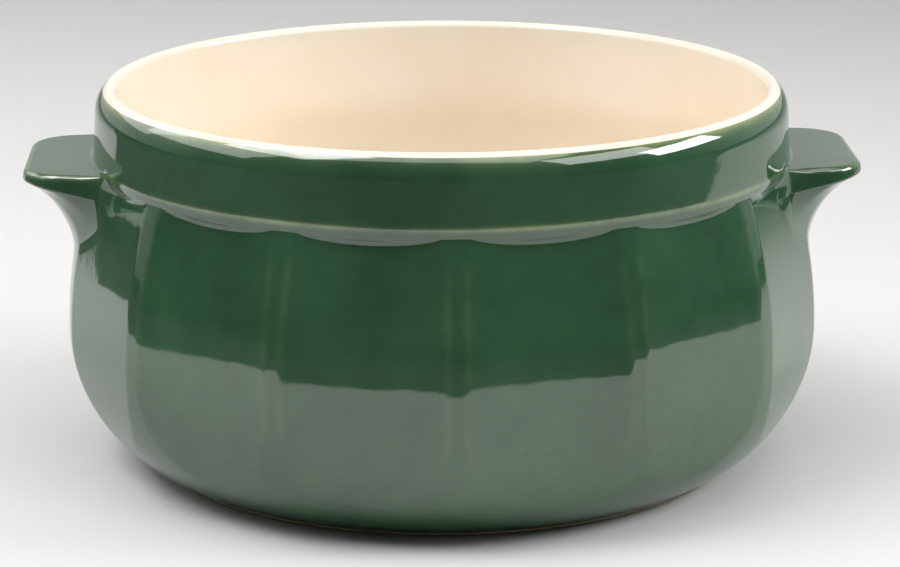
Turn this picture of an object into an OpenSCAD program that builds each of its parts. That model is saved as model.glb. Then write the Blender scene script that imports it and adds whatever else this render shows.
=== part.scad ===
// Round baking dish in glazed stoneware: a panelled bowl under a plain collar, with two lug handles.
// Lengths are in mm. The origin is the middle of the foot, +Z is up and the handles lie along X.

/* [Bowl] */
// Height of the rim above the table
dish_height = 133.5; // [126:0.5:142]
// Greatest radius of the bowl, measured on the ridges
bulge_radius = 132.2; // [118:0.1:148]
// Height of that greatest radius
bulge_height = 48.4; // [44:0.1:54]
// How far the foot's edge stays inside the bulge
foot_inset = 32.7; // [26:0.1:40]
// Wall between the flat of a panel and the inside
wall = 6; // [4:0.5:8]
// Height of the inside floor above the table
floor_height = 8; // [6:0.5:12]
// Width of the standing ring under the dish
foot_width = 11; // [6:1:20]
// Depth of the hollow inside the standing ring
foot_recess = 2; // [1:0.5:3.5]
// Radius that rounds the hollow's edge into its ceiling
foot_round = 1.5; // [0.5:0.5:3]

/* [Panels] */
// Panels in each half of the bowl, between the two handles
panels_per_half = 6; // [4:1:6]
// Turn from one ridge to the next
panel_angle = 27; // [25:0.5:29]
// Depth of the cut that makes a panel, at its middle
panel_depth = 3; // [2.4:0.1:3.4]
// Height at which the panels run out into the round bottom
panel_end = 15; // [10:1:20]

/* [Collar and lip] */
// How far the collar's face stays inside the bulge
collar_inset = 10.5; // [8:0.1:12]
// Height of the collar, from its lower edge to the rim
collar_height = 32.5; // [29:0.5:36]
// Radius that rounds the collar's lower edge
collar_round = 9; // [6:0.5:10]
// How far the ridges stay behind the collar's face at the top of that rounding
ridge_setback = 2.9; // [2:0.1:4]
// Radius of the collar's lean in to the lip
lip_lean = 12; // [11:0.5:16]
// Depth below the rim at which the lean starts
lip_drop = 9.2; // [8:0.1:10]
// Radius of the lip's nose
lip_nose = 2.4; // [1.8:0.1:2.8]
// Radius of the inside curve from the collar to the bowl
throat_round = 40; // [20:5:60]

/* [Handles] */
// Reach of a handle beyond the collar
handle_reach = 24; // [20:0.5:28]
// Depth of a handle's top face below the rim
handle_drop = 25.2; // [20.2:0.5:27.2]
// Width of a handle where it meets the collar
handle_root_width = 76; // [70:1:84]
// Width of a handle at its tip
handle_tip_width = 55; // [46:1:62]
// Length along the tip that each rounded corner takes
handle_corner = 12; // [8:0.5:14]
// Thickness of a handle's plate, which has fully rounded edges
handle_thick = 5; // [4:0.5:7]
// Cove between a handle's top face and the collar
handle_cove = 4; // [2:0.5:6]
// How far the cove's curve bites into the top face
cove_bite = 0.1; // [0.05:0.05:0.3]
// Height of the flared corbel under the plate
corbel_height = 30; // [24:1:36]
// Radius of the corbel where it grows out of the bowl
corbel_root = 28; // [22:1:32]
// How far the corbel's top stays inside the flat underside of the plate
corbel_setback = 0.6; // [0.3:0.1:3]

/* [Glaze] */
// Thickness of either coat of glaze
glaze = 0.6; // [0.4:0.1:1]
// Height of the bare clay band at the foot
bare_foot = 1.5; // [1:0.5:4]
// Depth below the rim to which the inner glaze comes down outside
glaze_lap = 3.2; // [2.9:0.1:5]

/* [Hidden] */
$fn = 360;

clay_colour = [0.72, 0.64, 0.50];
green_colour = [0.10, 0.24, 0.14];
cream_colour = [0.93, 0.84, 0.72];

// Radius of an arc that starts upright at its widest point and comes in by run over a height of rise
function arc_radius(rise, run) = (rise * rise + run * run) / (2 * run);
// Reach of such an arc at a height away from its widest point
function arc_reach(widest, radius, away) = widest - radius + sqrt(radius * radius - away * away);

// Outside of the bowl: one arc from the foot to the bulge, and one from there to the collar
foot_radius = bulge_radius - foot_inset;
collar_radius = bulge_radius - collar_inset;
collar_base = dish_height - collar_height;
shoulder_height = collar_base + collar_round;
shoulder_radius = collar_radius - ridge_setback;
lower_arc = arc_radius(bulge_height, bulge_radius - foot_radius);
upper_arc = arc_radius(shoulder_height - bulge_height, bulge_radius - shoulder_radius);

// Panels keep the upper curve, and curve less below the bulge, so the round bottom overtakes them
panel_radius = bulge_radius - panel_depth;
panel_end_radius = arc_reach(bulge_radius, lower_arc, bulge_height - panel_end);
panel_lower_arc = arc_radius(bulge_height - panel_end, panel_radius - panel_end_radius);

// Lip: the nose's circle touches the lean's circle from within
lean_height = dish_height - lip_drop;
lean_middle = collar_radius - lip_lean;
nose_height = dish_height - lip_nose;
nose_middle = lean_middle + sqrt(pow(lip_lean - lip_nose, 2) - pow(nose_height - lean_height, 2));
mouth_radius = nose_middle - lip_nose;

// Inside of the bowl: it runs alongside the panels and meets the floor in one arc
inner_radius = panel_radius - wall;
inner_upper_arc = upper_arc - wall;
inner_lower_arc = bulge_height - floor_height;
inner_middle = inner_radius - inner_upper_arc;
// The throat's circle touches the mouth's straight wall and the bowl's upper arc
throat_middle = mouth_radius + throat_round;
throat_away = throat_middle - inner_middle;
throat_rise = sqrt(pow(inner_upper_arc + throat_round, 2) - pow(throat_away, 2));
throat_height = bulge_height + throat_rise;

// Handles: a plate whose sides draw in to its tip, with corners on one circle about the corbel's axis
handle_top = dish_height - handle_drop;
handle_tip = collar_radius + handle_reach;
edge_roll = handle_thick / 2;
side_angle = atan2((handle_root_width - handle_tip_width) / 2, handle_reach);

// Corbel: a bell about an upright axis, which leaves the bowl upright and flares out to the plate
corbel_top = handle_top - handle_thick;
corbel_foot = corbel_top - corbel_height;
corbel_axis = arc_reach(bulge_radius, upper_arc, corbel_foot - bulge_height) - corbel_root;
side_reach = handle_root_width / 2 * cos(side_angle) + (collar_radius - corbel_axis) * sin(side_angle);
corbel_lip = min(handle_tip - corbel_axis, side_reach) - edge_roll - corbel_setback;
corbel_arc = arc_radius(corbel_height, corbel_lip - corbel_root);
corner_radius = norm([handle_tip - corbel_axis, handle_tip_width / 2 - handle_corner]);

// Half section of a form that is widest at the bulge, with one arc below it and one above
module bulged_section(widest, below, above, low, high) {
    intersection() {
        translate([0, low]) square([widest, bulge_height - low]);
        union() {
            translate([widest - below, bulge_height]) circle(r = below);
            translate([0, low]) square([widest - below, bulge_height - low]);
        }
    }
    intersection() {
        translate([0, bulge_height]) square([widest, high - bulge_height]);
        translate([widest - above, bulge_height]) circle(r = above);
    }
}

// Bowl before its panels are cut; inset moves its skin inwards
module round_bowl(inset) {
    rotate_extrude()
        bulged_section(bulge_radius - inset, lower_arc - inset, upper_arc - inset, 0, shoulder_height);
}

// What one panel takes off the bowl, flat across and curved in height
module panel_cut(inset) {
    rotate([90, 0, 0]) linear_extrude(height = bulge_radius, center = true) difference() {
        translate([bulge_radius / 2, 0]) square([bulge_radius, shoulder_height + collar_round]);
        bulged_section(panel_radius - inset, panel_lower_arc - inset, upper_arc - inset,
            0, shoulder_height + collar_round);
    }
}

module panelled_bowl(inset) {
    difference() {
        round_bowl(inset);
        for (half = [-90, 90], i = [0 : panels_per_half - 1])
            rotate([0, 0, half + (i - (panels_per_half - 1) / 2) * panel_angle]) panel_cut(inset);
    }
}

// Half section of the collar, with its rounded lower edge and its lean in to the lip
module collar_section(inset) {
    edge_middle = collar_radius - collar_round;
    translate([0, collar_base + inset]) square([edge_middle, lean_height - collar_base - inset]);
    translate([edge_middle, shoulder_height]) circle(r = collar_round - inset);
    translate([0, shoulder_height]) square([collar_radius - inset, lean_height - shoulder_height]);
    intersection() {
        translate([lean_middle, lean_height]) circle(r = lip_lean - inset);
        translate([0, lean_height]) square([collar_radius, nose_height - lean_height]);
    }
    translate([0, lean_height]) square([nose_middle, nose_height - lean_height]);
    translate([nose_middle, nose_height]) circle(r = lip_nose - inset);
    lip_blend(inset);
}

// Sliver between the lean's circle and the nose's, above the nose's middle
module lip_blend(inset) {
    lean_touch = atan2(nose_height - lean_height, nose_middle - lean_middle);
    intersection() {
        translate([lean_middle, lean_height]) circle(r = lip_lean - inset);
        polygon([
            [nose_middle, nose_height],
            [nose_middle + lip_lean, nose_height],
            [nose_middle + lip_lean * cos(lean_touch), nose_height + lip_lean * sin(lean_touch)]
        ]);
    }
}

module dish_outside(inset) {
    panelled_bowl(inset);
    rotate_extrude() collar_section(inset);
}

// Half section of the hollow, out through the mouth; spread moves its skin outwards
module hollow_section(spread) {
    touch = (inner_upper_arc + spread) / (inner_upper_arc + throat_round);
    touch_radius = inner_middle + throat_away * touch;
    touch_height = bulge_height + throat_rise * touch;
    bulged_section(inner_radius + spread, inner_lower_arc + spread, inner_upper_arc + spread,
        floor_height - spread, touch_height);
    difference() {
        translate([0, bulge_height]) square([touch_radius, throat_height - bulge_height]);
        translate([throat_middle, throat_height]) circle(r = throat_round - spread);
    }
    translate([0, bulge_height]) square([mouth_radius + spread, nose_height - bulge_height]);
    difference() {
        translate([0, nose_height]) square([nose_middle, 2 * lip_nose]);
        translate([nose_middle, nose_height]) circle(r = lip_nose - spread);
    }
}

// Hollow under the floor, inside the standing ring
module foot_hollow() {
    hollow_radius = foot_radius - foot_width;
    rotate_extrude() {
        square([hollow_radius, foot_recess - foot_round]);
        square([hollow_radius - foot_round, foot_recess]);
        translate([hollow_radius - foot_round, foot_recess - foot_round]) circle(r = foot_round);
    }
}

// Half section of a slab with a fully rounded edge, from a depth behind the origin to a reach beyond it
module slab_section(depth, reach) {
    translate([-depth, 0]) square([depth + reach - edge_roll, handle_thick]);
    translate([reach - edge_roll, edge_roll]) circle(r = edge_roll);
}

module edge_slab(depth, reach) {
    rotate([90, 0, 0]) linear_extrude(height = 2 * handle_tip, center = true) slab_section(depth, reach);
}

// Slab whose rounded edge is one drawn-in side of the plate
module side_slab(side) {
    mirror([0, side, 0]) translate([collar_radius, 0, 0]) rotate([0, 0, 90 - side_angle])
        edge_slab(handle_tip, handle_root_width / 2 * cos(side_angle));
}

// Plate with rounded edges: what the slabs of its tip and sides share with a disc that rounds the corners
module handle_plate() {
    intersection() {
        edge_slab(0, handle_tip);
        side_slab(0);
        side_slab(1);
        translate([corbel_axis, 0, 0]) rotate_extrude() slab_section(0, corner_radius);
    }
}

module corbel() {
    translate([corbel_axis, 0, corbel_foot]) rotate_extrude() {
        difference() {
            square([corbel_lip, corbel_height]);
            translate([corbel_root + corbel_arc, 0]) circle(r = corbel_arc);
        }
        translate([0, corbel_height]) square([corbel_lip, edge_roll]);
    }
}

// Cove along the collar, over the flat of the plate
module collar_cove() {
    cove_middle = collar_radius + handle_cove;
    cove_height = handle_top - cove_bite + handle_cove;
    cove_start = corbel_top + edge_roll;
    wedge_y = handle_root_width / 2 + collar_radius * tan(side_angle) - edge_roll / cos(side_angle);
    intersection() {
        rotate_extrude() difference() {
            translate([mouth_radius, cove_start])
                square([cove_middle - mouth_radius, cove_height - cove_start]);
            translate([cove_middle, cove_height]) circle(r = handle_cove);
        }
        translate([0, 0, cove_start]) linear_extrude(height = cove_height) polygon([
            [0, wedge_y],
            [wedge_y / tan(side_angle), 0],
            [0, -wedge_y]
        ]);
    }
}

module lug() {
    translate([0, 0, corbel_top]) handle_plate();
    corbel();
    collar_cove();
}

module stoneware_body() {
    color(clay_colour) difference() {
        dish_outside(glaze);
        rotate_extrude() hollow_section(glaze);
        foot_hollow();
    }
}

module outer_glaze() {
    color(green_colour) difference() {
        intersection() {
            dish_outside(0);
            translate([0, 0, bare_foot])
                cylinder(r = bulge_radius + glaze, h = dish_height - glaze_lap - bare_foot);
        }
        dish_outside(glaze);
        for (side = [0, 180]) rotate([0, 0, side]) lug();
    }
}

module inner_glaze() {
    color(cream_colour) rotate_extrude() difference() {
        union() {
            hollow_section(glaze);
            intersection() {
                collar_section(0);
                translate([0, dish_height - glaze_lap]) square([collar_radius, glaze_lap]);
            }
        }
        hollow_section(0);
        difference() {
            collar_section(glaze);
            hollow_section(glaze);
        }
    }
}

module right_handle() {
    color(green_colour) difference() {
        lug();
        dish_outside(glaze);
    }
}

module left_handle() {
    rotate([0, 0, 180]) right_handle();
}

stoneware_body();
outer_glaze();
inner_glaze();
left_handle();
right_handle();
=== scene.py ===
# Round baking dish in glazed stoneware: green outside, cream inside, on a pale sheet
import math
import bpy
import numpy as np
from mathutils import Matrix, Vector


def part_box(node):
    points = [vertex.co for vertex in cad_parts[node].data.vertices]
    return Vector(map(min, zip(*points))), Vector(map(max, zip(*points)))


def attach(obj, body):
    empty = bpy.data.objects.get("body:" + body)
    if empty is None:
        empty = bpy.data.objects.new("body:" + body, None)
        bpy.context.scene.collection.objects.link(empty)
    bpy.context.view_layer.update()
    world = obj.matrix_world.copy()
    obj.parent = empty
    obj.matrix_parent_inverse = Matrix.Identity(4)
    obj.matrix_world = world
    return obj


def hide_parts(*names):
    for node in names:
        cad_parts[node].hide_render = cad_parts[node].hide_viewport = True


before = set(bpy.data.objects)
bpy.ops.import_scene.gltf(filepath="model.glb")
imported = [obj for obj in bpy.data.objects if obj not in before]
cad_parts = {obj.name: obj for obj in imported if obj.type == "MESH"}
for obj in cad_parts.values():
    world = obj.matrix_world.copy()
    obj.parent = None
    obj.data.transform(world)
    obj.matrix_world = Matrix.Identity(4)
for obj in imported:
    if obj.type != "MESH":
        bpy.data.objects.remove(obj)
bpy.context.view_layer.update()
print("frame loaded")

mm = 0.001

# sizes that the solids already carry, in mm
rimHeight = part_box("inner_glaze")[1].z / mm
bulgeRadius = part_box("outer_glaze")[1].y / mm
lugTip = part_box("right_handle")[1].x / mm

bowl = {
    "bulgeHeight": 48.4,    # widest height, mm
    "footRadius": 99.5,
    "floorHeight": 8,       # inside floor above the table
    "wall": 6,
    "footWidth": 11,        # standing ring
    "footRecess": 2,
    "footEdge": 1.2,        # rounding of the standing ring's edges
    "bareFoot": 1.5,        # unglazed band above the table
    "panelAngle": 27,       # ridge to ridge, degrees
    "panelsPerHalf": 6,
    "panelDepth": 3,
    "panelTopDepth": 2.5,   # less deep under the collar
    "panelEnd": 15,         # height where a panel runs out
    "ridgeSoftness": 0.25,  # mm of blend at each edge of a ridge
    "breakWidth": 0.3,      # mm of radius over which glaze runs thin at those edges
    "breakShare": 0.08,
    "breakFade": 8,         # mm under the collar over which that ends
}

collar = {
    "radius": 122.1,        # at the top of its rounded lower edge
    "lean": 3,              # degrees that the face leans in
    "height": 32.5,         # from its lower edge to the rim
    "edgeRound": 9,
    "setback": 2.3,         # ridges behind the collar's face
    "joinSoftness": 0.25,
    "lipRadius": 12,
    "lipDrop": 8.5,         # where the face starts to curve in to the lip
    "noseRadius": 2.4,
    "throatRadius": 40,
    "creamLap": 1.4,        # cream left showing down the outside of the lip
    "lipZone": 12,          # depth below the rim that counts as lip
    "lipFade": 1.1,         # green glaze runs thin towards the cream over this
    "creamFade": (8, 2),    # depths inside between which the cream turns paler
    "thinEdge": 8.3,        # thin glaze along the lower edge, above its base
    "thinEdgeWidth": 0.9,
    "thinEdgeShare": 0.65,
}

lug = {
    "drop": 25.2,           # top face below the rim
    "tipThick": 4.6,
    "rootThick": 10.0,
    "edgeLean": 6,          # degrees that the edge of the plate leans in
    "topRound": 2.4,
    "lowRound": 1.0,
    "rootHalfWidth": 36,
    "tipHalfWidth": 31.5,
    "cornerRound": 16,
    "rootSoftness": 1.6,
    "cove": 2.0,            # between the top face and the collar
    "flareHeight": 31,      # sweep under the plate, down to the bowl
    "flareEnd": 4,          # its foot below the collar, where it ends beside the lug
    "flareStart": 0.33,     # handle of its lower end, as a share of its rise
    "flareSlope": 38,       # degrees above level where the sweep meets the rolled edge
    "flareHalfWidth": 52,   # along the collar
    "kneeDrop": 0.26,       # bend of the sweep, as a share of its rise
    "kneeProud": 13.5,      # and how far it stands off the bowl
    "edgeBreak": 0.35,      # thin glaze on the upper round of the edge
}

detail = {
    "lugStep": 0.13,        # degrees between columns through a lug
    "ridgeStep": 0.12,      # close to a ridge
    "flatStep": 0.75,       # across a panel
    "lugSpan": 25,          # degrees each side of a lug's middle
    "ridgeSpan": 2.6,       # degrees each side of a ridge
    "bowlRows": 90,
    "lugFirstRow": 60,      # row above the foot where a lug's piece starts
    "sweepRows": 70,
    "plateRows": 26,        # across the top face
    "collarRows": 16,       # above the lugs
}


# arcs and blends, all in mm
def arcRadius(rise, run):
    return (rise * rise + run * run) / (2 * run)


def arcReach(widest, radius, away):
    return widest - radius + np.sqrt(np.maximum(radius * radius - away * away, 0))


def softMin(a, b, k):
    h = np.maximum(k - np.abs(a - b), 0) / k
    return np.minimum(a, b) - h * h * k / 4


def softMax(a, b, k):
    return -softMin(-a, -b, k)


def smooth(low, high, x):
    t = np.clip((x - low) / (high - low), 0, 1)
    return t * t * (3 - 2 * t)


def mix(a, b, share):
    return a * (1 - share) + b * share


bulgeH = bowl["bulgeHeight"]
collarR = collar["radius"]
collarLean = math.radians(collar["lean"])
collarBase = rimHeight - collar["height"]
shoulder = collarBase + collar["edgeRound"]
lowerArc = arcRadius(bulgeH, bulgeRadius - bowl["footRadius"])
upperArc = arcRadius(shoulder - bulgeH, bulgeRadius - collarR + collar["setback"])
panelR = bulgeRadius - bowl["panelDepth"]
panelTopR = collarR - collar["setback"] - bowl["panelTopDepth"]
panelUpperArc = arcRadius(shoulder - bulgeH, panelR - panelTopR)
panelEndR = arcReach(bulgeRadius, lowerArc, bulgeH - bowl["panelEnd"])
panelLowerArc = arcRadius(bulgeH - bowl["panelEnd"], panelR - panelEndR)
lipStartH = rimHeight - collar["lipDrop"]
lipStartR = collarR - (lipStartH - shoulder) * math.tan(collarLean)
lipMid = lipStartR - collar["lipRadius"] * math.cos(collarLean)
lipMidH = lipStartH - collar["lipRadius"] * math.sin(collarLean)
noseH = rimHeight - collar["noseRadius"]
noseMid = lipMid + math.sqrt((collar["lipRadius"] - collar["noseRadius"]) ** 2 - (noseH - lipMidH) ** 2)
mouthR = noseMid - collar["noseRadius"]
lugTop = rimHeight - lug["drop"]
fullReach = lugTip - collarR
sideSlope = (lug["rootHalfWidth"] - lug["tipHalfWidth"]) / fullReach
sideLine = lug["rootHalfWidth"] + collarR * sideSlope
edgeLean = math.radians(lug["edgeLean"])


def wrapped(angle):
    return (angle + math.pi) % (2 * math.pi) - math.pi


def panelCentres():
    step = math.radians(bowl["panelAngle"])
    n = bowl["panelsPerHalf"]
    return [half + (i - (n - 1) / 2) * step for half in (-math.pi / 2, math.pi / 2) for i in range(n)]


def ridgeTurns():
    step = math.radians(bowl["panelAngle"])
    n = bowl["panelsPerHalf"]
    return [half + (i - n / 2) * step for half in (-math.pi / 2, math.pi / 2) for i in range(n + 1)]


# radius of the panelled bowl, and how thin the glaze is drawn along the edges of its ridges
def bowlSkin(turn, z):
    below = z < bulgeH
    away = np.abs(z - bulgeH)
    reach = np.where(below, arcReach(bulgeRadius, lowerArc, away), arcReach(bulgeRadius, upperArc, away))
    flat = np.where(below, arcReach(panelR, panelLowerArc, np.minimum(away, panelLowerArc)),
                    arcReach(panelR, panelUpperArc, away))
    uncut = reach
    thin = np.zeros_like(reach)
    for centre in panelCentres():
        off = wrapped(turn - centre)
        near = np.abs(off) < math.radians(1.4 * bowl["panelAngle"])
        cut = np.where(near, flat / np.cos(np.where(near, off, 0)), uncut + 50)
        reach = softMin(reach, cut, bowl["ridgeSoftness"])
        thin = np.maximum(thin, np.exp(-((cut - uncut) / bowl["breakWidth"]) ** 2))
    return reach, thin * bowl["breakShare"] * smooth(bowl["panelEnd"] + 6, bulgeH, z)


def bowlRadius(turn, z):
    return bowlSkin(turn, z)[0]


def collarReach(z):
    edge = collar["edgeRound"]
    low = collarR - edge + np.sqrt(np.maximum(edge * edge - np.maximum(shoulder - z, 0) ** 2, 0))
    low = np.where(z < collarBase, collarR - 3 * edge, low)
    return np.where(z > shoulder, collarR - (z - shoulder) * math.tan(collarLean), low)


def skinRadius(turn, z):
    return softMax(bowlRadius(turn, z), collarReach(z), collar["joinSoftness"])


def fromLug(turn):
    return np.abs(wrapped(2 * turn) / 2)


# reach of a lug's plate beyond the collar: a tip and two sides, with round corners between
def lugReach(turn):
    off = fromLug(turn)
    tip = lugTip / np.cos(off)
    side = sideLine / (np.sin(off) + sideSlope * np.cos(off))
    corner = lug["cornerRound"]
    steep = math.hypot(1, sideSlope)
    midX = lugTip - corner
    midY = sideLine - corner * steep - sideSlope * midX
    ahead = midX * np.cos(off) + midY * np.sin(off)
    bend = ahead + np.sqrt(np.maximum(ahead * ahead - midX * midX - midY * midY + corner * corner, 0))
    first = math.atan2(midY, lugTip)
    last = math.atan2(midY + corner / steep, midX + corner * sideSlope / steep)
    edge = np.where(off < first, tip, np.where(off < last, bend, side))
    return softMax(edge - collarR, np.zeros_like(off), lug["rootSoftness"])


# rounder reach that the sweep under the plate follows
def flareReach(turn):
    along = collarR * fromLug(turn)
    return fullReach * (1 - smooth(0, lug["flareHalfWidth"], along))


def bezier(p0, p1, p2, p3, t):
    u = 1 - t
    return u ** 3 * p0 + 3 * u * u * t * p1 + 3 * u * t * t * p2 + t ** 3 * p3


# one column of the outside for every turn: rows of (radius, height, thinness) from the foot to the lip
def outsideColumns(turn):
    reach = lugReach(turn)
    low = flareReach(turn)
    slip = np.gradient(reach, turn)
    edge = collarR + reach
    stretch = np.sqrt(1 + np.minimum((slip / edge) ** 2, 4))
    share = smooth(0.05, 2.4, reach)
    full = np.clip(reach / fullReach, 0, 1)
    topRound = lug["topRound"]
    lowRound = lug["lowRound"]
    faceLong = mix(lug["rootThick"], lug["tipThick"], full) - topRound - lowRound
    faceTop = lugTop - topRound * (1 - math.sin(edgeLean)) + 0 * turn
    faceLow = faceTop - faceLong * math.cos(edgeLean)
    rollDepth = faceLong * math.sin(edgeLean) + topRound * math.cos(edgeLean)
    squash = softMin(stretch, 0.6 * reach / rollDepth, 0.3)
    rollRun = rollDepth * squash
    coveRun = np.maximum(softMin(lug["cove"] + 0 * reach, reach - rollRun, 1.5), 0)

    rows = []
    footZ = bowl["bareFoot"]
    flareLong = lug["flareHeight"] - 2 * lug["flareEnd"]
    flareFoot = collarBase - lug["flareEnd"] - flareLong * np.sqrt(low / fullReach)
    for t in np.linspace(0, 1, detail["bowlRows"])[:-1]:
        z = footZ + (flareFoot - footZ) * t
        r, thin = bowlSkin(turn, z)
        rows.append((r, z, thin * (1 - 0.8 * smooth(0, 12, low))))

    # sweep from the bowl out to the rolled edge
    slope = np.radians(90 - (90 - lug["flareSlope"]) * smooth(0, 12, reach))
    joinR = edge - squash * lowRound * (math.cos(edgeLean) - np.sin(slope))
    joinZ = faceLow - lowRound * (math.sin(edgeLean) + np.cos(slope))
    bell = lug["kneeProud"] * low / fullReach
    rootR = skinRadius(turn, joinZ) + bell
    endR = mix(rootR, joinR, share)
    startR = bowlRadius(turn, flareFoot)
    startLean = startR - bowlRadius(turn, flareFoot - 1)
    rise = joinZ - flareFoot
    kneeZ = joinZ - lug["kneeDrop"] * rise
    kneeR = bowlRadius(turn, kneeZ) + bell
    lowShare = smooth(0.1, 5, low)

    # collar beside a lug, filled out to the sweep, with the plate growing from it
    def plateRow(r, z):
        base = mix(skinRadius(turn, z), softMax(skinRadius(turn, z), rootR, 0.8), lowShare)
        return mix(base, r, share)

    handle = lug["flareStart"] * rise
    for t in 1 - (1 - np.linspace(0, 1, detail["sweepRows"])[:-1]) ** 1.35:
        z = bezier(flareFoot, flareFoot + handle, kneeZ, joinZ, t)
        r = bezier(startR, startR + handle * startLean, kneeR, endR, t)
        swept = mix(skinRadius(turn, z), softMax(r, skinRadius(turn, z), 0.5), lowShare)
        fade = smooth(collarBase, collarBase - bowl["breakFade"], z) * (1 - lowShare)
        rows.append((swept, z, bowlSkin(turn, z)[1] * fade))

    # edge of the plate: a small round, a leaning face and a larger round
    for t in np.linspace(0, 1, 9)[:-1]:
        bend = mix(slope - math.pi / 2, edgeLean, t)
        z = faceLow + lowRound * (np.sin(bend) - math.sin(edgeLean))
        r = edge + squash * lowRound * (np.cos(bend) - math.cos(edgeLean))
        rows.append((plateRow(r, z), z, 0 * turn))
    for t in np.linspace(0, 1, 7)[:-1]:
        z = mix(faceLow, faceTop, t)
        r = edge - squash * faceLong * t * math.sin(edgeLean)
        rows.append((plateRow(r, z), z, 0 * turn))
    for bend in np.linspace(edgeLean, math.pi / 2, 15)[:-1]:
        z = faceTop + topRound * (math.sin(bend) - math.sin(edgeLean))
        inward = topRound * (math.cos(edgeLean) - math.cos(bend))
        r = edge - squash * (faceLong * math.sin(edgeLean) + inward)
        rows.append((plateRow(r, z), z, lug["edgeBreak"] * share * math.sin(2 * bend)))

    # top face, and the cove up into the collar
    lift = 0.5 * (1 - share)
    for t in np.linspace(0, 1, detail["plateRows"])[:-1]:
        z = lugTop + lift * t
        r = mix(edge - rollRun, collarR + coveRun, t)
        rows.append((plateRow(r, z), z, 0 * turn))
    for t in np.linspace(0, 1, 13)[:-1]:
        z = lugTop + lift + lug["cove"] * (1 - math.cos(t * math.pi / 2))
        r = collarReach(z) + coveRun * (1 - math.sin(t * math.pi / 2))
        rows.append((plateRow(r, z), z, 0 * turn))
    coveEnd = lugTop + lift + lug["cove"]
    for t in np.linspace(0, 1, detail["collarRows"])[:-1]:
        z = coveEnd + (lipStartH - coveEnd) * t
        rows.append((skinRadius(turn, z), z, 0 * turn))
    return rows


# round parts of the section, as (radius, height) pairs
def arcRows(middle, height, radius, start, end, count):
    bends = np.linspace(start, end, count)
    return [(middle + radius * math.cos(a), height + radius * math.sin(a)) for a in bends]


def lipRows():
    touch = math.atan2(noseH - lipMidH, noseMid - lipMid)
    rows = arcRows(lipMid, lipMidH, collar["lipRadius"], collarLean, touch, 24)[:-1]
    return rows + arcRows(noseMid, noseH, collar["noseRadius"], touch, math.pi, 25)


def insideRows():
    innerR = panelR - bowl["wall"]
    innerUpper = upperArc - bowl["wall"]
    innerLower = bulgeH - bowl["floorHeight"]
    innerMid = innerR - innerUpper
    throat = collar["throatRadius"]
    throatMid = mouthR + throat
    throatRise = math.sqrt((innerUpper + throat) ** 2 - (throatMid - innerMid) ** 2)
    throatH = bulgeH + throatRise
    touchH = bulgeH + throatRise * innerUpper / (innerUpper + throat)
    rows = [(mouthR, z) for z in np.linspace(noseH, throatH, 8)[1:]]
    swing = math.asin((throatH - touchH) / throat)
    rows += arcRows(throatMid, throatH, throat, math.pi, math.pi + swing, 14)[1:]
    rows += arcRows(innerMid, bulgeH, innerUpper, math.asin((touchH - bulgeH) / innerUpper), 0, 24)[1:]
    floorR = innerR - innerLower
    rows += arcRows(floorR, bulgeH, innerLower, 0, -math.pi / 2, 40)[1:]
    return rows + [(floorR * (1 - t) + 0.4 * t, bowl["floorHeight"]) for t in np.linspace(0, 1, 24)[1:]]


def footRows():
    ring = bowl["footRadius"] - bowl["footWidth"]
    recess = bowl["footRecess"]
    edge = bowl["footEdge"]
    outer = float(arcReach(bulgeRadius, lowerArc, bulgeH - bowl["bareFoot"]))
    rows = [(ring * t, recess) for t in np.linspace(0.004, 1 - edge / ring, 12)[:-1]]
    rows += arcRows(ring - edge, recess - edge, edge, math.pi / 2, 0, 7)
    rows += [(ring, edge / 2), (ring + edge / 2, 0.0)]
    rows += [(r, 0.0) for r in np.linspace(ring + edge, bowl["footRadius"] - edge, 6)]
    return rows + [(bowl["footRadius"] - 0.4 * edge, 0.1 * edge), (outer - 0.5 * edge, 0.5 * edge),
                   (outer, bowl["bareFoot"])]


# angles of the columns: close together through the lugs and at the ridges
def columnTurns():
    span = detail["lugSpan"]
    marks = list(np.arange(-span, span, detail["lugStep"]))
    marks += list(np.arange(span, 180 - span, detail["flatStep"]))
    for ridge in np.degrees(ridgeTurns()):
        near = np.arange(ridge - detail["ridgeSpan"], ridge + detail["ridgeSpan"], detail["ridgeStep"])
        marks += [a for a in near if span < a < 180 - span]
    half = np.unique(np.round(marks, 4))
    half = half[np.concatenate([[True], np.diff(half) > 0.4 * detail["ridgeStep"]])]
    return np.radians(np.concatenate([half, half + 180]))


turns = columnTurns()
plain = np.zeros_like(turns)
section = [(plain + r, plain + z, plain) for r, z in footRows()]
footEnd = len(section) - 1
section += outsideColumns(turns)[1:]
lipStart = len(section)
section += [(plain + r, plain + z, plain) for r, z in lipRows() + insideRows()]
radius = np.array([row[0] for row in section])
height = np.array([row[1] for row in section])
thinness = np.array([row[2] for row in section])
points = np.stack([radius * np.cos(turns), radius * np.sin(turns), height], axis=-1) * mm
nRows, nCols = radius.shape
rowNumber = np.arange(nRows)
inCream = (rowNumber >= lipStart) & (height[:, 0] >= rimHeight - collar["creamLap"])
creamStart = int(np.argmax(inCream))
print("section", nRows, "rows by", nCols, "columns")

# glaze is thin near the cream line, on both of its sides, and along the collar's lower edge
lipDepth = rimHeight - height
offLug = 1 - smooth(0.1, 1, lugReach(turns))
fromEdge = (height - collarBase - collar["thinEdge"]) / collar["thinEdgeWidth"]
crest = collar["thinEdgeShare"] * np.exp(-fromEdge ** 2) * offLug
nearCream = np.exp(-np.maximum(lipDepth - collar["creamLap"], 0) / collar["lipFade"])
outerThin = np.where(lipDepth < collar["lipZone"], nearCream, np.maximum(thinness, crest))
thinness = np.where(rowNumber[:, None] < creamStart, outerThin, smooth(*collar["creamFade"], lipDepth))

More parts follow.
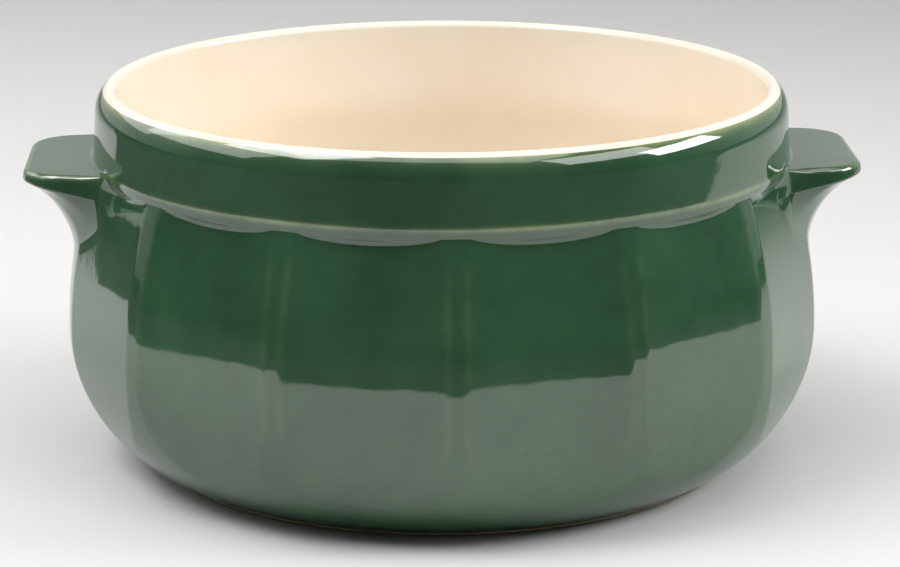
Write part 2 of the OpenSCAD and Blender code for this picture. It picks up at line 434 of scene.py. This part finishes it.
index = np.arange(nRows * nCols).reshape(nRows, nCols)
right = np.roll(index, -1, axis=1)
quads = np.stack([index[:-1], right[:-1], right[1:], index[1:]], axis=-1)
rowOf = np.repeat(rowNumber[:-1, None], nCols, axis=1)

# soft normals over the whole dish, so that neighbouring pieces shade as one skin
flatPoints = points.reshape(-1, 3)
across = flatPoints[quads[..., 2]] - flatPoints[quads[..., 0]]
along = flatPoints[quads[..., 3]] - flatPoints[quads[..., 1]]
faceNormals = np.cross(across, along)
normals = np.zeros_like(flatPoints)
for corner in range(4):
    np.add.at(normals, quads[..., corner].ravel(), faceNormals.reshape(-1, 3))
normals /= np.maximum(np.linalg.norm(normals, axis=1, keepdims=True), 1e-12)

inLug = np.tile((lugReach(turns) > 0.5) | (flareReach(turns) > 1.5), (nRows - 1, 1))
lugRows = (rowOf >= footEnd + detail["lugFirstRow"]) & (rowOf < lipStart - detail["collarRows"] + 1)
rightSide = np.tile(np.cos(turns) > 0, (nRows - 1, 1))
regions = {
    "stoneware_body": rowOf < footEnd,
    "outer_glaze": (rowOf >= footEnd) & (rowOf < creamStart) & ~(inLug & lugRows),
    "right_handle": inLug & lugRows & rightSide,
    "left_handle": inLug & lugRows & ~rightSide,
    "inner_glaze": rowOf >= creamStart,
}


def addPiece(name, node, material):
    faces = quads[regions[node]]
    used, local = np.unique(faces, return_inverse=True)
    mesh = bpy.data.meshes.new(name)
    mesh.from_pydata(flatPoints[used].tolist(), [], local.reshape(-1, 4).tolist())
    mesh.polygons.foreach_set("use_smooth", np.ones(len(faces), dtype=bool))
    mesh.normals_split_custom_set_from_vertices(normals[used].tolist())
    thin = mesh.attributes.new("thinGlaze", "FLOAT", "POINT")
    thin.data.foreach_set("value", thinness.ravel()[used].astype(np.float32))
    mesh.materials.append(material)
    piece = bpy.data.objects.new(name, mesh)
    bpy.context.scene.collection.objects.link(piece)
    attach(piece, "root")
    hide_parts(node)


def newMaterial(name):
    material = bpy.data.materials.new(name)
    material.use_nodes = True
    nodes = material.node_tree.nodes
    return material, nodes, material.node_tree.links, nodes["Principled BSDF"]


def addNoise(nodes, depth, rough, scale=1):
    noise = nodes.new("ShaderNodeTexNoise")
    noise.inputs["Detail"].default_value = depth
    noise.inputs["Roughness"].default_value = rough
    noise.inputs["Scale"].default_value = scale
    return noise


def addMath(nodes, links, kind, a, b):
    node = nodes.new("ShaderNodeMath")
    node.operation = kind
    for socket, value in zip(node.inputs, (a, b)):
        if isinstance(value, (int, float)):
            socket.default_value = value
        else:
            links.new(value, socket)
    return node.outputs[0]


def addColourMix(nodes, links, kind, share, a, b):
    node = nodes.new("ShaderNodeMix")
    node.data_type = "RGBA"
    node.blend_type = kind
    for socket, value in ((node.inputs[0], share), (node.inputs[6], a), (node.inputs[7], b)):
        if isinstance(value, (int, float)):
            socket.default_value = value
        elif isinstance(value, tuple):
            socket.default_value = (*value, 1)
        else:
            links.new(value, socket)
    return node.outputs[2]


def addRange(nodes, links, value, low, high, toLow, toHigh):
    node = nodes.new("ShaderNodeMapRange")
    links.new(value, node.inputs["Value"])
    for name, number in (("From Min", low), ("From Max", high), ("To Min", toLow), ("To Max", toHigh)):
        node.inputs[name].default_value = number
    return node.outputs["Result"]


# pooled glaze, shared by both coats: cloudy tone, fine pinholes and the slow wave of a fired surface
def pooledGlazeGroup():
    group = bpy.data.node_groups.new("pooledGlaze", "ShaderNodeTree")
    asked = {"Cloud Scale": 26.0, "Wave Scale": 60.0, "Ripple Scale": 260.0, "Ripple Share": 0.12}
    for name, value in asked.items():
        socket = group.interface.new_socket(name, in_out="INPUT", socket_type="NodeSocketFloat")
        socket.default_value = value
    for name in ("Cloud", "Pinholes", "Height"):
        group.interface.new_socket(name, in_out="OUTPUT", socket_type="NodeSocketFloat")
    nodes = group.nodes
    links = group.links
    given = nodes.new("NodeGroupInput")
    result = nodes.new("NodeGroupOutput")
    place = nodes.new("ShaderNodeTexCoord").outputs["Object"]
    cloud = addNoise(nodes, 4, 0.62)
    wave = addNoise(nodes, 1.5, 0.45)
    ripple = addNoise(nodes, 2, 0.5)
    pits = nodes.new("ShaderNodeTexVoronoi")
    pits.inputs["Scale"].default_value = 190
    for texture, socket in ((cloud, "Cloud Scale"), (wave, "Wave Scale"), (ripple, "Ripple Scale")):
        links.new(place, texture.inputs["Vector"])
        links.new(given.outputs[socket], texture.inputs["Scale"])
    links.new(place, pits.inputs["Vector"])
    pitMask = addRange(nodes, links, pits.outputs["Distance"], 0.05, 0.11, 1, 0)
    chance = addRange(nodes, links, cloud.outputs["Fac"], 0.56, 0.66, 0, 1)
    pitMask = addMath(nodes, links, "MULTIPLY", pitMask, chance)
    fine = addMath(nodes, links, "MULTIPLY", ripple.outputs["Fac"], given.outputs["Ripple Share"])
    links.new(cloud.outputs["Fac"], result.inputs["Cloud"])
    links.new(pitMask, result.inputs["Pinholes"])
    links.new(addMath(nodes, links, "ADD", wave.outputs["Fac"], fine), result.inputs["Height"])
    return group


pooledGlaze = pooledGlazeGroup()

greenCoat = {
    "deep": (0.023, 0.072, 0.033),
    "light": (0.037, 0.108, 0.052),
    "broken": (0.290, 0.350, 0.150),    # where the coat is thin
    "speck": (0.075, 0.150, 0.085),
    "gloss": 0.055,
    "ior": 1.9,
    "wave": 0.00012,                    # metres
}

creamCoat = {
    "deep": (0.89, 0.775, 0.630),
    "light": (0.92, 0.840, 0.730),
    "broken": (0.85, 0.815, 0.700),     # paler round the lip
    "gloss": 0.10,
    "ior": 1.55,
    "wave": 0.00016,
}

clay = {
    "dark": (0.46, 0.370, 0.220),
    "light": (0.70, 0.590, 0.400),
    "grain": 0.0002,
}


def addBump(nodes, links, height, distance, shader):
    bump = nodes.new("ShaderNodeBump")
    bump.inputs["Distance"].default_value = distance
    links.new(height, bump.inputs["Height"])
    links.new(bump.outputs["Normal"], shader.inputs["Normal"])


def glazeCoat(name, coat, cloudScale):
    material, nodes, links, shader = newMaterial(name)
    pooled = nodes.new("ShaderNodeGroup")
    pooled.node_tree = pooledGlaze
    pooled.inputs["Cloud Scale"].default_value = cloudScale
    thin = nodes.new("ShaderNodeAttribute")
    thin.attribute_name = "thinGlaze"
    tone = addRange(nodes, links, pooled.outputs["Cloud"], 0.34, 0.68, 0, 1)
    colour = addColourMix(nodes, links, "MIX", tone, coat["deep"], coat["light"])
    if "speck" in coat:
        colour = addColourMix(nodes, links, "MIX", pooled.outputs["Pinholes"], colour, coat["speck"])
    patchy = addRange(nodes, links, pooled.outputs["Cloud"], 0.38, 0.6, 0.3, 1)
    broken = addMath(nodes, links, "MULTIPLY", thin.outputs["Fac"], patchy)
    colour = addColourMix(nodes, links, "MIX", broken, colour, coat["broken"])
    links.new(colour, shader.inputs["Base Color"])
    glossy = coat["gloss"] * 0.8
    duller = coat["gloss"] * 1.25
    sheen = addRange(nodes, links, pooled.outputs["Cloud"], 0.3, 0.7, glossy, duller)
    links.new(sheen, shader.inputs["Roughness"])
    shader.inputs["IOR"].default_value = coat["ior"]
    addBump(nodes, links, pooled.outputs["Height"], coat["wave"], shader)
    return material


def bareClay():
    material, nodes, links, shader = newMaterial("bareClay")
    place = nodes.new("ShaderNodeTexCoord").outputs["Object"]
    grain = addNoise(nodes, 4, 0.7, 900)
    stain = addNoise(nodes, 3, 0.55, 45)
    links.new(place, grain.inputs["Vector"])
    links.new(place, stain.inputs["Vector"])
    tone = addMath(nodes, links, "MULTIPLY_ADD", grain.outputs["Fac"], 0.5)
    links.new(stain.outputs["Fac"], tone.node.inputs[2])
    share = addRange(nodes, links, tone, 0.45, 1.05, 0, 1)
    colour = addColourMix(nodes, links, "MIX", share, clay["dark"], clay["light"])
    links.new(colour, shader.inputs["Base Color"])
    rough = addRange(nodes, links, grain.outputs["Fac"], 0.3, 0.7, 0.7, 0.95)
    links.new(rough, shader.inputs["Roughness"])
    addBump(nodes, links, grain.outputs["Fac"], clay["grain"], shader)
    return material


green = glazeCoat("greenGlaze", greenCoat, 24)
cream = glazeCoat("creamGlaze", creamCoat, 14)
addPiece("stonewareFoot", "stoneware_body", bareClay())
addPiece("outerGlaze", "outer_glaze", green)
addPiece("rightLug", "right_handle", green)
addPiece("leftLug", "left_handle", green)
addPiece("innerGlaze", "inner_glaze", cream)
print("dish built")

studio = {
    "sideLeft": (-0.46, 0.30),      # front corners of the pale sheet from left to right, metres
    "frontLeft": (-0.475, -0.42),
    "frontRight": (0.56, -0.47),
    "turnRight": (0.62, -0.14),
    "sideRight": (0.84, 0.0),
    "backHalf": 4.5,
    "back": 4.5,
    "sheetColour": (0.69, 0.682, 0.675),
    "tableColour": (0.07, 0.07, 0.07),
    "tableHalf": 9.0,
    "tableDrop": 0.004,
    "roomFront": (0.030, 0.031, 0.033),
    "roomBack": (0.60, 0.60, 0.595),
    "ceiling": (0.15, 0.15, 0.15),
}


def paper(name, colour):
    material, nodes, links, shader = newMaterial(name)
    place = nodes.new("ShaderNodeTexCoord").outputs["Object"]
    fibre = addNoise(nodes, 3, 0.6, 420)
    links.new(place, fibre.inputs["Vector"])
    lighter = tuple(min(1, c * 1.02) for c in colour)
    mottled = addColourMix(nodes, links, "MIX", fibre.outputs["Fac"], colour, lighter)
    links.new(mottled, shader.inputs["Base Color"])
    shader.inputs["Roughness"].default_value = 0.9
    shader.inputs["Specular IOR Level"].default_value = 0.1
    return material


def addStage(name, verts, faces, material):
    mesh = bpy.data.meshes.new(name)
    mesh.from_pydata(verts, [], faces)
    mesh.polygons.foreach_set("use_smooth", np.ones(len(faces), dtype=bool))
    mesh.materials.append(material)
    obj = bpy.data.objects.new(name, mesh)
    bpy.context.scene.collection.objects.link(obj)


# sheet on the table that widens behind the dish
def studioSheet():
    half = studio["backHalf"]
    front = [studio[name] for name in ("frontLeft", "frontRight", "turnRight", "sideRight")]
    corners = front + [(half, studio["back"]), (-half, studio["back"]), studio["sideLeft"]]
    addStage("sheet", [(x, y, 0) for x, y in corners], [tuple(range(len(corners)))],
             paper("sheetPaper", studio["sheetColour"]))


def studioTable():
    half = studio["tableHalf"]
    corners = [(-half, -half), (half, -half), (half, half), (-half, half)]
    verts = [(x, y, -studio["tableDrop"]) for x, y in corners]
    addStage("table", verts, [(0, 1, 2, 3)], paper("tableTop", studio["tableColour"]))


def softBox(name, place, aim, width, tall, power, spread=180):
    lamp = bpy.data.lights.new(name, "AREA")
    lamp.shape = "RECTANGLE"
    lamp.size = width
    lamp.size_y = tall
    lamp.energy = power
    lamp.spread = math.radians(spread)
    obj = bpy.data.objects.new(name, lamp)
    bpy.context.scene.collection.objects.link(obj)
    obj.location = place
    obj.rotation_mode = "QUATERNION"
    obj.rotation_quaternion = (Vector(aim) - Vector(place)).to_track_quat("-Z", "Y")


studioSheet()
studioTable()
softBox("leftBox", (-1.25, 0.07, 0.95), (0, 0, 0.08), 1.3, 0.6, 4.5)
softBox("leftTopBox", (-0.95, -0.35, 1.5), (-0.3, -0.2, 0), 1.0, 0.8, 6.6, 120)
softBox("leftBackBox", (-0.85, 0.60, 0.62), (-0.42, 0.22, 0), 0.6, 0.5, 1.4)
softBox("rightBox", (1.02, -0.64, 1.02), (0, 0, 0.08), 0.9, 0.5, 4.6)
softBox("rightSideBox", (1.40, -0.10, 0.82), (0, -0.15, 0.16), 0.8, 0.4, 4.6, 100)
softBox("topBox", (-0.1, -0.45, 1.9), (-0.05, -0.2, 0), 2.4, 1.8, 22)


# dark room in front, pale behind, with a soft ceiling
def roomLight():
    world = bpy.data.worlds.new("room")
    world.use_nodes = True
    nodes = world.node_tree.nodes
    links = world.node_tree.links
    split = nodes.new("ShaderNodeSeparateXYZ")
    links.new(nodes.new("ShaderNodeTexCoord").outputs["Generated"], split.inputs[0])
    behind = addRange(nodes, links, split.outputs["Y"], -0.1, 0.7, 0, 1)
    above = addRange(nodes, links, split.outputs["Z"], 0.5, 0.9, 0, 1)
    colour = addColourMix(nodes, links, "MIX", behind, studio["roomFront"], studio["roomBack"])
    colour = addColourMix(nodes, links, "MIX", above, colour, studio["ceiling"])
    links.new(colour, nodes["Background"].inputs["Color"])
    bpy.context.scene.world = world


roomLight()
print("studio built")

view = {
    "lens": 136.0,          # mm, on a 36 mm sensor
    "distance": 1.2277,
    "rise": 0.3052,         # radians above level, seen from the foot
    "orbit": math.radians(2.24),
    "pan": 0.00246,
    "tilt": 0.25804,
    "roll": -0.00098,
}


def addCamera():
    data = bpy.data.cameras.new("camera")
    data.lens = view["lens"]
    data.sensor_width = 36
    camera = bpy.data.objects.new("camera", data)
    bpy.context.scene.collection.objects.link(camera)
    orbit = Matrix.Rotation(-view["orbit"], 3, "Z")
    place = Vector((0, -math.cos(view["rise"]), math.sin(view["rise"]))) * view["distance"]
    level = math.cos(view["tilt"])
    pan = view["pan"]
    ahead = Vector((math.sin(pan) * level, math.cos(pan) * level, -math.sin(view["tilt"])))
    side = ahead.cross(Vector((0, 0, 1))).normalized()
    up = side.cross(ahead)
    rolledSide = side * math.cos(view["roll"]) + up * math.sin(view["roll"])
    rolledUp = up * math.cos(view["roll"]) - side * math.sin(view["roll"])
    axes = [orbit @ v for v in (rolledSide, rolledUp, -ahead)]
    camera.matrix_world = Matrix.Translation(orbit @ place) @ Matrix(axes).transposed().to_4x4()
    bpy.context.scene.camera = camera


addCamera()
bpy.context.scene.view_settings.view_transform = "Standard"
